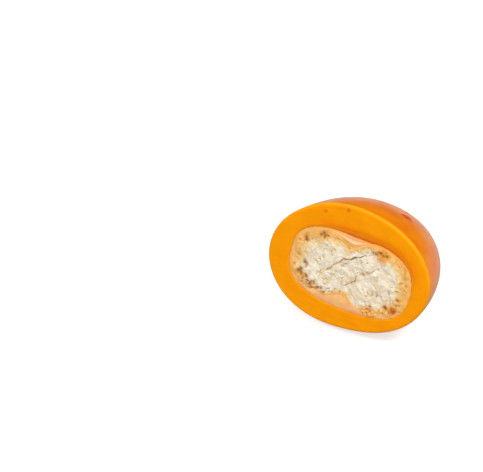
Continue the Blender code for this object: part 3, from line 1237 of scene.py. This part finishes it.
@dataclass
class Biscuit:
    """The biscuit: its hidden back, and the broken face with lumps, cracks, pores and crust."""

    segments: int = 440
    rings: int = 36
    face_steps: int = 96
    rim_depth: float = 0.6
    rim_level: float = 0.14
    crumb_level: float = 0.07
    spread: float = 0.95
    dent_reaches: Pair = (1.3, 0.68)
    outline_wave: float = 0.09
    lump_span: float = 1.25
    lump_height: float = 0.17
    chip_span: float = 0.50
    chip_height: float = 0.085
    grain_height: float = 0.05
    grit_height: float = 0.02
    seam_depth: float = 0.10
    hollow_depth: float = 0.12
    pore_depth: float = 0.11
    pore_growth: float = 1.75
    crust_widths: tuple[Pair, ...] = (
        (-180, 2.0), (-150, 1.9), (-125, 1.5), (-104, 0.8), (-80, 1.1), (-55, 1.7), (-25, 2.3),
        (0, 2.5), (30, 2.0), (55, 1.3), (80, 1.0), (97, 1.0), (120, 2.3), (150, 3.2), (180, 2.0),
    )
    cracks: tuple[Crack, ...] = (
        Crack(((-2.3, -1.0), (-1.6, -0.35), (-0.95, 0.22), (-0.43, 0.95)), 0.24, 0.085, 0.15, 0.8),
        Crack(((-0.43, 0.95), (0.31, 1.06), (1.0, 1.46), (1.69, 1.86)), 0.28, 0.060, 0.60, 0.6),
        Crack(((0.08, -2.17), (0.77, -1.77), (1.3, -1.18), (1.46, -0.64)), 0.20, 0.11, 0.05, 0.8),
        Crack(((2.26, -0.15), (2.94, 0.31), (3.84, 0.95)), 0.16, 0.09, 0.08, 0.6),
        Crack(((-4.1, 0.2), (-3.5, 0.25), (-2.9, 0.35)), 0.12, 0.07, 0.05, 0.5),
        Crack(((-3.2, -1.4), (-3.5, -1.9)), 0.12, 0.08, 0.05, 0.6),
    )
    pores: tuple[Patch, ...] = rows(
        Patch,
        (-5.6, -2.1, 0.19), (-5.25, -2.35, 0.12), (-5.0, -2.75, 0.14, 0.8), (-4.35, -2.85, 0.13),
        (-4.0, -3.1, 0.20), (-4.45, -3.35, 0.11, 0.8), (-3.1, -3.35, 0.15),
        (-5.0, -0.95, 0.17, 1.0), (-5.45, -1.75, 0.13, 0.9), (-4.7, -2.45, 0.12, 0.9),
        (-3.6, -3.0, 0.12, 0.8), (-2.6, -3.3, 0.11, 0.9), (-2.2, -3.7, 0.09, 0.8),
        (-4.75, -1.25, 0.13, 0.9), (-5.9, -0.2, 0.10, 0.6), (-6.2, -1.3, 0.11, 0.7),
        (-5.3, 1.9, 0.17), (-3.7, 2.9, 0.12, 0.9), (-3.45, 3.1, 0.11, 0.9), (-3.2, 2.8, 0.13),
        (-2.8, 2.85, 0.09, 0.7), (2.9, 2.75, 0.09, 0.8), (3.3, 2.65, 0.08, 0.8),
        (3.7, 2.95, 0.10, 0.9), (4.1, 2.75, 0.08, 0.8), (4.5, 2.8, 0.11, 0.9),
        (3.5, -3.7, 0.12, 0.9), (5.2, -3.15, 0.15), (3.1, -4.5, 0.14, 0.9), (3.2, -5.0, 0.12, 0.9),
        (6.6, -1.9, 0.12, 0.8), (4.1, -2.2, 0.09, 0.6), (4.6, -2.2, 0.09, 0.6),
        (2.0, -0.1, 0.12, 0.7), (5.4, -1.5, 0.10, 0.6), (-0.45, 0.97, 0.12, 0.6),
        (-2.1, 1.3, 0.08, 0.5), (-2.8, 1.9, 0.09, 0.35),
    )
    toasts: tuple[Patch, ...] = rows(
        Patch,
        (4.0, 2.6, 1.0, 1.1), (-4.9, -2.7, 1.0, 0.45), (-4.0, 2.9, 1.0, 0.35),
        (3.2, -4.5, 1.1, 0.8), (5.6, -3.5, 0.9, 0.75), (0.9, -1.8, 0.4, 0.35),
        (-3.6, -3.2, 0.9, 0.5), (6.9, -2.0, 0.6, 0.4),
    )
    burnt: Patch = Patch(6.25, -3.25, 0.42)
    stray_pores: int = 60
    stray_sizes: Pair = (0.05, 0.10)
    stray_strengths: Pair = (0.3, 0.8)
    stray_angles: tuple[int, ...] = (-170, -150, -135, -60, -30, 0, 20, 45, 150)
    pore_seed: int = 5
    behind: float = 0.03
    smooth_edge: float = 0.9
    sways: tuple[tuple[float, float, float], ...] = ((0.5, 0.20, 8.0), (0.22, 0.06, 10.0))
    least_rough: float = 0.35
    rim_width: float = 0.5
    grain_span: float = 0.30
    grit_span: float = 0.15
    seam_clouds: Cloud = Cloud(0.0, 0.5, 1.1, 13.0)
    hollow_clouds: Cloud = Cloud(-0.1, 0.4, 1.3, 14.0)
    hollow_spots: Cloud = Cloud(0.24, 0.52, 0.30, 15.0)
    crack_gaps: Cloud = Cloud(-0.45, 0.05, 0.55, 16.0)
    # these two: where low ground starts to take painted shade, and how strong the painted shade is in
    # pits, seams and low ground
    low_ground_shade: Pair = (-0.06, -0.36)
    shading: tuple[float, float, float] = (0.55, 0.5, 0.32)
    facet_lift: float = 1.2
    facet_lean: float = 1.8
    facet_seed: float = 97.0
    lump_blend: float = 0.10
    chip_blend: float = 0.14
    chip_shift: float = 20.0
    seam_width: float = 0.12
    darkest: float = 0.9
    # strength of the painted shade in pits, seams, low ground and cracks
    hollow_shade_share: float = 0.75
    surface: Array = field(init=False, repr=False)

    def outline(self, angle: Array) -> Array:
        """Its uneven edge, which spreads a little over the thin undercoat.

        Args:
            angle: Angles in radians about the filling's centre.

        Returns:
            A radius for each angle.
        """
        radius = FILLING.biscuit_radius(angle)
        around = FILLING.at(angle, radius, 0.0)
        uneven = ripple(around, 0.8, layer=6.0) + 0.5 * ripple(around, 0.35, layer=7.0)
        lobes = np.ones_like(radius)
        for dent, reach in zip(FILLING.dents, self.dent_reaches):
            lobes *= 1.0 - dent.share(angle, reach, power=4)
        room = FILLING.opening_radius(angle) - radius
        return radius + self.spread * lobes * room + self.outline_wave * uneven

    def face_line(self, angle: Array, share: float) -> Array:
        """One line of the face before it is broken, at a share of its outline."""
        rim_share = FILLING.cut_share(FILLING.biscuit_length)
        return FILLING.at(angle, self.outline(angle) * rim_share * share, EGG.cut_depth)

    def facets(self, points: Array, span: float, soft: float) -> tuple[Array, Array]:
        """Broken, tilted little planes that run softly into each other.

        Args:
            points: One row for each point.
            span: Size of a plane.
            soft: How wide the planes blend, as a share of their size.

        Returns:
            A height from about -1 to 1 and how near a seam it is, from 0 to 1, for each point.
        """
        heights = np.empty(len(points))
        seams = np.empty(len(points))
        half = Vector((0.5, 0.5, 0.5))
        for index, point in enumerate(points):
            spot = Vector(point) / span
            distances, middles = noise.voronoi(spot)
            total = 0.0
            weights = 0.0
            for distance, middle in zip(distances, middles):
                weight = math.exp((distances[0] - distance) / soft)
                lean = noise.cell_vector(middle * self.facet_seed) - half
                height = self.facet_lift * lean.x + (spot - middle).dot(lean) * self.facet_lean
                total += weight * height
                weights += weight
            heights[index] = total / weights
            seams[index] = math.exp(-(((distances[1] - distances[0]) / self.seam_width) ** 2))
        return heights, seams

    def crack_share(self, points: Array, crack: Crack) -> Array:
        """Works out how far inside a crack points lie.

        Args:
            points: One row for each point.
            crack: The crack.

        Returns:
            A share from 0 to 1 for each point.
        """
        here = points[:, (0, 2)]
        nearest = np.full(len(points), np.inf)
        for start, end in zip(crack.bends, crack.bends[1:]):
            start, run = np.array(start), np.array(end) - np.array(start)
            share = np.clip((here - start) @ run / (run @ run), 0.0, 1.0)
            nearest = np.minimum(nearest, np.linalg.norm(here - start - np.outer(share, run), axis=1))
        return np.exp(-((nearest / crack.width) ** 2))

    def patch_share(self, points: Array, patch: Patch, sharp: float) -> Array:
        """How far inside a patch each point lies, from 0 to 1."""
        away = np.hypot(points[:, 0] - patch.x, points[:, 2] - patch.z) / patch.size
        return patch.strength * np.exp(-(away**sharp))

    def all_pores(self) -> list[Patch]:
        """The larger pores at their places, and small stray ones in the crust.

        Returns:
            The pores.
        """
        chance = random.Random(self.pore_seed)
        found = list(self.pores)
        for _ in range(self.stray_pores):
            angle = math.radians(chance.choice(self.stray_angles))
            angle += chance.gauss(0.0, math.radians(12))
            width = float(self.crust_width(np.array([angle]))[0])
            radius = float(self.outline(np.array([angle]))[0]) - chance.uniform(0.12, 0.75) * width
            x = FILLING.centre[0] + radius * math.cos(angle)
            z = FILLING.centre[1] + radius * math.sin(angle)
            size, strength = chance.uniform(*self.stray_sizes), chance.uniform(*self.stray_strengths)
            found.append(Patch(x, z, size, strength))
        return found

    def crust_width(self, angle: Array) -> Array:
        """How wide the crust's colour reaches inwards at each angle."""
        return read_round(angle, self.crust_widths)

    def build(self) -> Piece:
        """Models the biscuit.

        Returns:
            The finished piece.
        """
        radii, length = FILLING.biscuit_radii, FILLING.biscuit_length
        sizes = FILLING.half_sizes(radii, length)
        work = Workpiece("biscuit_core", sizes, self.segments, self.rings)
        outline = lambda angle: FILLING.biscuit_radius(angle) - self.behind
        work.shape(lambda points: FILLING.ovoid(points, radii, length, outline))
        work.cut_front(EGG.behind(self.rim_depth))
        work.extrude_lines(1 - np.arange(self.face_steps) / self.face_steps, self.face_line)
        work.close()
        self.break_face(work)
        return work.stand(BakedCrumb().material())

    def break_face(self, work: Workpiece) -> None:
        """Breaks the face into crumb and marks crust, toast, cracks, pores and the burnt spot, with
        painted shade in the cracks, pits, seams and low ground.

        Args:
            work: The closed biscuit.
        """
        points = work.points()
        front = points[:, 1] < EGG.cut_depth + 0.01
        face = points[front]
        angle, radius = FILLING.polar(face)
        inside = self.outline(angle) * FILLING.cut_share(FILLING.biscuit_length) - radius
        inner = ease(0.0, self.smooth_edge, inside)
        bent = face.copy()
        for span, sway, layer in self.sways:
            bent[:, 0] += sway * ripple(face, span, layer)
            bent[:, 2] += sway * ripple(face, span, layer + 1.0)
        lumps, seams = self.facets(bent, self.lump_span, self.lump_blend)
        chips, _ = self.facets(bent + self.chip_shift, self.chip_span, self.chip_blend)
        grain = np.abs(ripple(face, self.grain_span, layer=3.0))
        grit = ripple(face, self.grit_span, layer=12.0)
        rough = self.least_rough + (1 - self.least_rough) * inner
        broken = rough * (self.lump_height * lumps + self.chip_height * chips)
        height = broken + self.grain_height * grain + self.grit_height * grit
        seams *= self.seam_clouds.at(face) * inner
        height -= self.seam_depth * seams
        hollow = self.hollow_spots.at(bent) * self.hollow_clouds.at(face) * inner
        height -= self.hollow_depth * hollow
        # painted shade: deeper in pits, in seams between facets and on low-lying ground
        shades = hollow, seams, ease(*self.low_ground_shade, broken)
        hollow = np.max([share * shade for share, shade in zip(self.shading, shades)], axis=0)
        height -= self.rim_level + (self.crumb_level - self.rim_level) * ease(0.0, self.rim_width, inside)
        crack_shade = np.zeros(len(face))
        gaps = self.least_rough + (1 - self.least_rough) * self.crack_gaps.at(face)
        # each crack is sunk and gets painted shade: dark in its own mark, warm in the hollow mark
        for crack in self.cracks:
            share = self.crack_share(bent, crack) * gaps
            height -= crack.depth * share
            crack_shade = np.maximum(crack_shade, crack.crack_shade * share)
            hollow = np.maximum(hollow, crack.warm_shade * share)
        pits = np.zeros(len(face))
        for pore in self.all_pores():
            wider = Patch(pore.x, pore.z, pore.size * self.pore_growth, pore.strength)
            share = self.patch_share(bent, wider, 3.0)
            height -= self.pore_depth * share
            pits = np.maximum(pits, share)
        toast = np.zeros(len(face))
        for patch in self.toasts:
            toast = np.maximum(toast, self.patch_share(bent, patch, 2.0))
        burnt = self.patch_share(bent, self.burnt, 4.0)
        crust = np.clip(1.0 - inside / self.crust_width(angle), 0.0, 1.0)
        face[:, 1] = EGG.cut_depth - height
        points[front] = face
        work.shape(lambda _: points)
        self.surface = face
        for mark, values in (
            (Mark.CRUST, crust),
            (Mark.TOAST, toast),
            # painted shade in the cracks
            (Mark.CRACK_SHADE, crack_shade),
            # painted shade in pits, seams, low ground and cracks
            (Mark.HOLLOW_SHADE, hollow * self.hollow_shade_share),
            (Mark.PORE, pits * self.darkest),
            (Mark.BURNT, burnt * self.darkest),
        ):
            every = np.zeros(len(points))
            every[front] = values
            work.mark(mark, every)


@dataclass(frozen=True)
class Heap:
    """Crumbs that lie together: middle, spread, how many, their half size and colour marks."""

    x: float
    z: float
    spread: Pair
    count: int
    size: Pair
    crust: float
    toast: float
    burnt: float = 0.0


@dataclass
class LooseCrumbs:
    """Small broken crumbs that stick to the cut."""

    seed: int = 23
    patterns: int = 6
    chips: int = 5
    chip_reach: Pair = (0.45, 0.75)
    stretch: Pair = (0.7, 1.1)
    stand_out: float = 0.25
    gather: float = 0.7
    tone: float = 0.15
    smooth_angle: float = math.radians(35.0)
    heaps: tuple[Heap, ...] = rows(
        Heap,
        (3.8, -4.4, (0.9, 0.25), 14, (0.14, 0.28), 0.8, 0.25),
        (5.4, -4.1, (0.5, 0.25), 9, (0.14, 0.28), 0.6, 0.10),
        (6.3, -3.3, (0.25, 0.15), 4, (0.12, 0.20), 1.0, 0.5, 0.8),
        (-4.6, -2.7, (0.9, 0.5), 8, (0.08, 0.15), 0.45, 0.0),
        (0.0, -0.4, (3.2, 1.5), 40, (0.06, 0.15), 0.0, 0.0),
        (5.0, -0.6, (1.0, 1.3), 12, (0.06, 0.12), 0.15, 0.0),
        (-4.4, 1.4, (1.1, 1.0), 10, (0.06, 0.11), 0.15, 0.0),
    )

    def one(self, chance: random.Random) -> Piece:
        """Models one crumb by chipping a small ball.

        Args:
            chance: Source of its chips.

        Returns:
            The crumb, about 1 across from its middle.
        """
        bpy.ops.mesh.primitive_ico_sphere_add(subdivisions=2, radius=1.0)
        crumb = bpy.context.object
        bpy.ops.object.mode_set(mode="EDIT")
        bpy.ops.mesh.select_all(action="SELECT")
        for _ in range(self.chips):
            side = Vector([chance.gauss(0.0, 1.0) for _ in range(3)]).normalized()
            reach = chance.uniform(*self.chip_reach)
            bpy.ops.mesh.bisect(plane_co=side * reach, plane_no=side, clear_outer=True, use_fill=True)
            bpy.ops.mesh.select_all(action="SELECT")
        bpy.ops.mesh.normals_make_consistent(inside=False)
        bpy.ops.object.mode_set(mode="OBJECT")
        return crumb

    def build(self, surface: Array) -> Piece:
        """Chips a few crumbs, and copies them onto the biscuit's face.

        Args:
            surface: Points of the biscuit's face on the bench.

        Returns:
            The finished piece.
        """
        chance = random.Random(self.seed)
        patterns = [self.one(chance) for _ in range(self.patterns)]
        crumbs = []
        for heap in self.heaps:
            for _ in range(heap.count):
                x = chance.gauss(heap.x, heap.spread[0] * self.gather)
                z = chance.gauss(heap.z, heap.spread[1] * self.gather)
                away = np.hypot(surface[:, 0] - x, surface[:, 2] - z)
                size = chance.uniform(*heap.size)
                spot = Vector(surface[int(away.argmin())])
                spot.y -= self.stand_out * size
                crumbs.append(self.place(chance, chance.choice(patterns), spot, size, heap))
        pick(*patterns)
        bpy.ops.object.delete()
        pick(*crumbs)
        bpy.ops.object.join()
        joined = bpy.context.object
        joined.name = "loose_crumbs"
        joined.data.name = "loose_crumbs"
        joined.data.materials.append(bpy.data.materials["baked_crumb"])
        bpy.ops.object.shade_smooth_by_angle(angle=self.smooth_angle)
        joined.matrix_world = EGG.pose()
        bpy.ops.object.transform_apply(location=True, rotation=True, scale=True)
        return joined

    def place(
        self, chance: random.Random, pattern: Piece, spot: Vector, size: float, heap: Heap
    ) -> Piece:
        """Copies a crumb, turns and sizes it, and marks its colour.

        Args:
            chance: Source of its turn and form.
            pattern: The crumb to copy.
            spot: Where its middle goes.
            size: Its half size.
            heap: The heap it belongs to.

        Returns:
            The copy.
        """
        crumb = pattern.copy()
        crumb.data = pattern.data.copy()
        bpy.context.collection.objects.link(crumb)
        pick(crumb)
        crumb.location = spot
        crumb.rotation_euler = [chance.uniform(0.0, math.tau) for _ in range(3)]
        crumb.scale = [size * chance.uniform(*self.stretch) for _ in range(3)]
        bpy.ops.object.transform_apply(location=True, rotation=True, scale=True)
        count = len(crumb.data.vertices)
        tone = chance.uniform(-self.tone, self.tone)
        tints = {Mark.CRUST: max(0.0, heap.crust + tone), Mark.TOAST: heap.toast, Mark.BURNT: heap.burnt}
        for mark in (Mark.CRUST, Mark.TOAST, Mark.CRACK_SHADE, Mark.HOLLOW_SHADE, Mark.PORE, Mark.BURNT):
            attribute = crumb.data.attributes.new(mark.value, "FLOAT", "POINT")
            attribute.data.foreach_set("value", np.full(count, tints.get(mark, 0.0), np.float32))
        return crumb


@dataclass(frozen=True)
class Softbox:
    """A square lamp: where it stands from the sweet, its side in metres and its brightness."""

    name: str
    azimuth: float
    elevation: float
    distance: float
    side: float
    brightness: float

    @property
    def power(self) -> float:
        """Watts that give the lamp's face its brightness."""
        return self.brightness * math.pi * self.side**2


@dataclass
class Studio:
    """Pale floor, soft light and the camera at the viewing angle, sizes in metres."""

    view_azimuth: float = math.radians(27.56)
    view_elevation: float = math.radians(38.33)
    camera_distance: float = 0.45
    frame_width: float = 483 * 0.11121 * MM
    sensor: float = 36.0
    cut_in_picture: Pair = (11.64 * MM, -3.55 * MM)
    floor_half: float = 1.5
    floor_colour: Rgb = (194, 194, 192)
    mirrored_near: Rgb = (178, 174, 170)
    mirrored_far: Rgb = (48, 47, 46)
    mirrored_reach: Pair = (0.02, 0.09)
    floor_glow: float = 0.68
    room_strength: float = 0.18
    mirrored_room: float = 0.015
    backdrop_strength: float = 1.0
    lamps: tuple[Softbox, ...] = (
        Softbox("overhead_softbox", 0.0, math.radians(89.9), 0.9, 1.3, 0.80),
        Softbox("front_softbox", math.radians(20), math.radians(32), 1.1, 1.1, 0.66),
        Softbox("left_lamp", math.radians(-32), math.radians(50), 0.7, 0.15, 25.0),
        Softbox("right_lamp", math.radians(80), math.radians(55), 0.7, 0.15, 25.0),
        Softbox("back_lamp", math.radians(135), math.radians(55), 0.7, 0.30, 4.0),
    )

    def direction(self, azimuth: float, elevation: float) -> Vector:
        """Where something stands, seen from the sweet; azimuth 0 is in front of -Y."""
        level = math.cos(elevation)
        return Vector((math.sin(azimuth) * level, -math.cos(azimuth) * level, math.sin(elevation)))

    def build(self) -> None:
        """Sets up floor, light and camera."""
        self.lay_floor()
        self.light()
        self.aim_camera()

    def lay_floor(self) -> None:
        """Lays the flat pale floor."""
        bpy.ops.object.select_all(action="DESELECT")
        bpy.ops.mesh.primitive_plane_add(size=2 * self.floor_half, location=(0, 0, 0))
        floor = bpy.context.object
        floor.name = "studio_floor"
        shader = Shader("pale_floor")
        path = shader.tree.nodes.new("ShaderNodeLightPath").outputs
        away = shader.tree.nodes.new("ShaderNodeVectorMath")
        away.operation = "LENGTH"
        shader.wire(shader.place, away.inputs[0])
        far = shader.between(away.outputs["Value"], *self.mirrored_reach)
        mirrored = shader.blend(far, self.mirrored_near, self.mirrored_far)
        colour = shader.blend(path["Is Glossy Ray"], self.floor_colour, mirrored)
        shader.wire(colour, shader.surface.inputs["Base Color"])
        shader.set(Roughness=0.8, Specular_IOR_Level=0.0)
        shader.surface.inputs["Emission Color"].default_value = (1, 1, 1, 1)
        glow = shader.between(path["Is Camera Ray"], 0.0, 1.0, 0.0, self.floor_glow)
        shader.wire(glow, shader.surface.inputs["Emission Strength"])
        floor.data.materials.append(shader.material)

    def light(self) -> None:
        """Lights the scene with softboxes in a dim room with a white backdrop."""
        world = bpy.data.worlds.new("studio_room")
        world.use_nodes = True
        tree = world.node_tree
        path = tree.nodes.new("ShaderNodeLightPath")
        mirrored = tree.nodes.new("ShaderNodeMapRange")
        mirrored.inputs["To Min"].default_value = self.room_strength
        mirrored.inputs["To Max"].default_value = self.mirrored_room
        tree.links.new(path.outputs["Is Glossy Ray"], mirrored.inputs["Value"])
        strength = tree.nodes.new("ShaderNodeMapRange")
        tree.links.new(mirrored.outputs["Result"], strength.inputs["To Min"])
        strength.inputs["To Max"].default_value = self.backdrop_strength
        background = tree.nodes["Background"]
        background.inputs["Color"].default_value = (1, 1, 1, 1)
        tree.links.new(path.outputs["Is Camera Ray"], strength.inputs["Value"])
        tree.links.new(strength.outputs["Result"], background.inputs["Strength"])
        bpy.context.scene.world = world
        for lamp in self.lamps:
            direction = self.direction(lamp.azimuth, lamp.elevation)
            bpy.ops.object.light_add(type="AREA", location=direction * lamp.distance)
            light = bpy.context.object
            light.name = lamp.name
            light.rotation_euler = direction.to_track_quat("Z", "Y").to_euler()
            light.data.size = lamp.side
            light.data.energy = lamp.power
        bpy.context.scene.view_settings.view_transform = "Standard"

    def aim_camera(self) -> None:
        """Puts the camera at the viewing angle, with the cut's middle at its place in the picture."""
        back = self.direction(self.view_azimuth, self.view_elevation)
        right = Vector((math.cos(self.view_azimuth), math.sin(self.view_azimuth), 0.0))
        up = back.cross(right)
        cut = EGG.pose() @ Vector((0.0, EGG.cut_depth, 0.0))
        aim = cut - right * self.cut_in_picture[0] - up * self.cut_in_picture[1]
        bpy.ops.object.camera_add(location=aim + back * self.camera_distance)
        camera = bpy.context.object
        camera.name = "studio_camera"
        turn = Matrix((right, up, back)).transposed()
        camera.rotation_euler = turn.to_euler()
        camera.data.sensor_width = self.sensor
        camera.data.lens = self.sensor * self.camera_distance / self.frame_width
        camera.data.clip_start = 0.01
        bpy.context.scene.camera = camera


def dress(piece: Piece, node: str) -> None:
    """Lets a piece stand for a node of the frame.

    Args:
        piece: The finished piece.
        node: The node it replaces, whose material slot has the same name.
    """
    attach(piece, "root")
    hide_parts(node)
    faces = sum(len(face.vertices) - 2 for face in piece.data.polygons)
    log.info("%s stands for %s, %d triangles", piece.name, node, faces)


def main() -> None:
    """Builds the sweet and its studio."""
    logging.basicConfig(level=logging.INFO, format="%(name)s: %(message)s")
    dress(Coating().build(), "coating")
    dress(Undercoat().build(), "undercoat")
    biscuit = Biscuit()
    dress(biscuit.build(), "biscuit")
    crumbs = LooseCrumbs().build(biscuit.surface)
    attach(crumbs, "root")
    log.info("%s lie on %s", crumbs.name, "biscuit_core")
    Studio().build()


if __name__ == "__main__":
    main()
